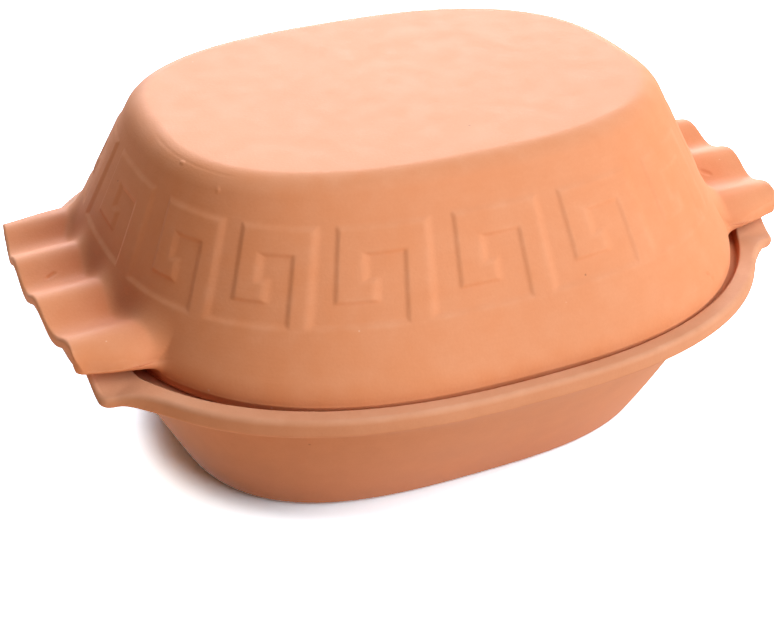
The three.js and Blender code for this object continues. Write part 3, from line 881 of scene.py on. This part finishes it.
def speck_share(tree, place, specks):
    """Scattered round specks: a small disc in a share of the cells."""
    cells = new_node(tree, "ShaderNodeTexVoronoi", {"Vector": place, "Scale": specks.scale}).outputs
    disc = spread(tree, cells["Distance"], specks.radius, SPECK_CORE * specks.radius)
    chance = new_node(tree, "ShaderNodeSeparateColor", {"Color": cells["Color"]}).outputs["Red"]
    picked = worked_out(tree, "LESS_THAN", chance, specks.share)
    return worked_out(tree, "MULTIPLY", disc, picked)


def clay_material(name, tone, spots):
    """Unglazed terracotta: clouded colour, fine grain, iron and grog specks, edges paler from being worn
    and from a painted highlight, and painted shade in hollows.
    """
    material = bpy.data.materials.new(name)
    material.use_nodes = True
    tree = material.node_tree
    shader = tree.nodes["Principled BSDF"]
    place = new_node(tree, "ShaderNodeTexCoord").outputs["Object"]
    squeeze = {"Vector": place, "Scale": (1, 1, STREAK_SQUEEZE)}
    wiped = new_node(tree, "ShaderNodeMapping", squeeze).outputs["Vector"]
    clouds = noise_share(tree, place, CLOUDS)
    mottle = noise_share(tree, place, MOTTLE)
    grain = noise_share(tree, place, GRAIN)
    streaks = noise_share(tree, wiped, STREAKS)
    iron = speck_share(tree, place, IRON)
    grog = speck_share(tree, place, GROG)
    # Edge paling from the vertices: partly worn clay, partly a painted highlight
    worn = new_node(tree, "ShaderNodeAttribute", attribute_name="wear").outputs["Fac"]

    deep = tuple(part * share for part, share in zip(tone, DEEP_SHARE))
    layers = [
        (clouds, CLOUD_SHARE, deep),
        (mottle, MOTTLE_SHARE, PALE_TONE),
        (streaks, STREAK_SHARE, deep),
        (grain, GRAIN_SHARE, deep),
        # Edges turn towards the pale tone: worn clay and a painted highlight
        (worked_out(tree, "MULTIPLY", worn, mottle), WEAR_HIGHLIGHT_SHARE, PALE_TONE),
        (iron, IRON_SHARE, SPECK_TONE),
        (grog, GROG_SHARE, GROG_TONE),
    ]
    color = (*tone, 1)
    for pattern, most, layer_tone in layers:
        share = worked_out(tree, "MULTIPLY", pattern, most)
        color = blend_tone(tree, share, color, (*layer_tone, 1))
    for spot in spots:
        middle = tuple(part * MM for part in spot.place)
        away = {0: place, 1: middle}
        distance = new_node(tree, "ShaderNodeVectorMath", away, operation="DISTANCE").outputs["Value"]
        share = spread(tree, distance, spot.radius * MM, 0, to_high=SPOT_SHARE)
        color = blend_tone(tree, share, color, (*spot.tone, 1))
    # Painted shade: the piece's own ambient occlusion darkens and reddens the base colour in hollows
    hollow = spread(tree, open_share(tree, PAINTED_SHADE_REACH, True), PAINTED_SHADE_OPEN, PAINTED_SHADE_DEEP)
    color = blend_tone(tree, hollow, color, (*PAINTED_HOLLOW_SHADE, 1), "MULTIPLY")
    tree.links.new(color, shader.inputs["Base Color"])

    tree.links.new(spread(tree, mottle, 0, 1, ROUGH_LOW, ROUGH_HIGH), shader.inputs["Roughness"])
    shader.inputs["Specular IOR Level"].default_value = SPECULAR
    shader.inputs["Sheen Weight"].default_value = SHEEN
    shader.inputs["Sheen Roughness"].default_value = SHEEN_ROUGHNESS

    normal = {}
    for height, bump in ((grain, GRAIN_BUMP), (streaks, STREAK_BUMP), (iron, PIT_BUMP)):
        relief = {"Height": height, "Strength": bump.strength, "Distance": bump.distance}
        normal = {"Normal": new_node(tree, "ShaderNodeBump", relief | normal).outputs["Normal"]}
    tree.links.new(normal["Normal"], shader.inputs["Normal"])
    return material


# Stage

def direction(azimuth, elevation):
    """Unit vector towards a place round the object, with azimuth 0 in front of it."""
    flat = math.cos(elevation)
    return Vector((math.sin(azimuth) * flat, -math.cos(azimuth) * flat, math.sin(elevation)))


def facing(towards):
    """Turn of a camera or lamp that looks back at the object from a direction."""
    return (-towards).to_track_quat("-Z", "Y")


def add_camera():
    data = bpy.data.cameras.new("camera")
    data.sensor_width = SENSOR_WIDTH
    data.lens = FOCAL_PIXELS * SENSOR_WIDTH / PHOTO_WIDTH
    data.shift_x = -CENTRE_SHIFT_X / PHOTO_WIDTH
    data.shift_y = CENTRE_SHIFT_Y / PHOTO_WIDTH
    data.clip_start = CLIP_START
    data.clip_end = CLIP_END
    camera = bpy.data.objects.new("camera", data)
    back = direction(CAMERA_AZIMUTH, CAMERA_ELEVATION)
    turn = facing(back).to_matrix().to_4x4() @ Matrix.Rotation(CAMERA_ROLL, 4, "Z")
    camera.matrix_world = Matrix.Translation((CAMERA_TARGET + back * CAMERA_DISTANCE) * MM) @ turn
    bpy.context.scene.collection.objects.link(camera)
    bpy.context.scene.camera = camera


def ray_kinds(tree):
    """Two shares: 1 for rays straight from the camera, and 1 for mirrored or refracted ones."""
    path = new_node(tree, "ShaderNodeLightPath").outputs
    mirrored = worked_out(tree, "MAXIMUM", path["Is Glossy Ray"], path["Is Transmission Ray"])
    return path["Is Camera Ray"], mirrored


def add_floor():
    mesh = bpy.data.meshes.new("floor")
    corners = [(x * FLOOR_HALF, y * FLOOR_HALF, 0) for x, y in ((-1, -1), (1, -1), (1, 1), (-1, 1))]
    mesh.from_pydata(corners, [], [(0, 1, 2, 3)])
    floor = bpy.data.objects.new("floor", mesh)
    floor.location.z = -FLOOR_DROP
    bpy.context.scene.collection.objects.link(floor)
    material = bpy.data.materials.new("floor_white")
    material.use_nodes = True
    tree = material.node_tree
    tree.nodes.clear()
    plain = new_node(tree, "ShaderNodeBsdfDiffuse", {"Color": FLOOR_TONE})
    shaded = new_node(tree, "ShaderNodeBsdfDiffuse", {"Color": FLOOR_SHOWN})
    # Painted contact shadow: ambient occlusion dims the floor's glow close to the object
    clear = open_share(tree, PAINTED_SHADOW_REACH, False)
    strength = spread(tree, clear, PAINTED_SHADOW_DARK, PAINTED_SHADOW_OPEN, to_high=FLOOR_GLOW)
    glow = new_node(tree, "ShaderNodeEmission", {"Color": WHITE, "Strength": strength})
    lit = {0: shaded.outputs["BSDF"], 1: glow.outputs["Emission"]}
    shown = new_node(tree, "ShaderNodeAddShader", lit)
    white = new_node(tree, "ShaderNodeEmission", {"Color": WHITE, "Strength": 1.0})
    straight, mirrored = ray_kinds(tree)
    direct = {0: straight, 1: plain.outputs["BSDF"], 2: shown.outputs["Shader"]}
    seen = new_node(tree, "ShaderNodeMixShader", direct).outputs["Shader"]
    both = {0: mirrored, 1: seen, 2: white.outputs["Emission"]}
    surface = new_node(tree, "ShaderNodeMixShader", both).outputs["Shader"]
    new_node(tree, "ShaderNodeOutputMaterial", {"Surface": surface})
    mesh.materials.append(material)


def add_lamp(lamp):
    """A soft sun: a share of 1 lights a surface that faces it at the level of its own colour."""
    data = bpy.data.lights.new(lamp.name, "SUN")
    data.energy = lamp.share * math.pi
    data.color = lamp.tint
    data.angle = LAMP_ANGLE
    light = bpy.data.objects.new(lamp.name, data)
    towards = direction(math.radians(lamp.azimuth), math.radians(lamp.elevation))
    light.location = towards
    light.rotation_mode = "QUATERNION"
    light.rotation_quaternion = facing(towards)
    bpy.context.scene.collection.objects.link(light)


def set_world():
    """White where the camera or a mirrored ray sees it; it gives no light of its own."""
    world = bpy.data.worlds.new("studio")
    bpy.context.scene.world = world
    world.use_nodes = True
    tree = world.node_tree
    background = tree.nodes["Background"]
    background.inputs["Color"].default_value = WHITE
    seen = worked_out(tree, "MAXIMUM", *ray_kinds(tree))
    tree.links.new(seen, background.inputs["Strength"])


# The two pieces on their stage

lid_clay = clay_material("lid_clay", LID_TONE, LID_SPOTS)
dish_clay = clay_material("dish_clay", DISH_TONE, DISH_SPOTS)
lid = make_piece("lid_terracotta", lid_rings(), lid_clay, LID_SCARS)
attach(lid, "cover")
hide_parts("lid")
dish = make_piece("dish_terracotta", dish_rings(), dish_clay)
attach(dish, "dish")
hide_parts("base_dish")

add_camera()
add_floor()
set_world()
for lamp in LAMPS:
    add_lamp(lamp)
bpy.context.scene.view_settings.view_transform = "Standard"
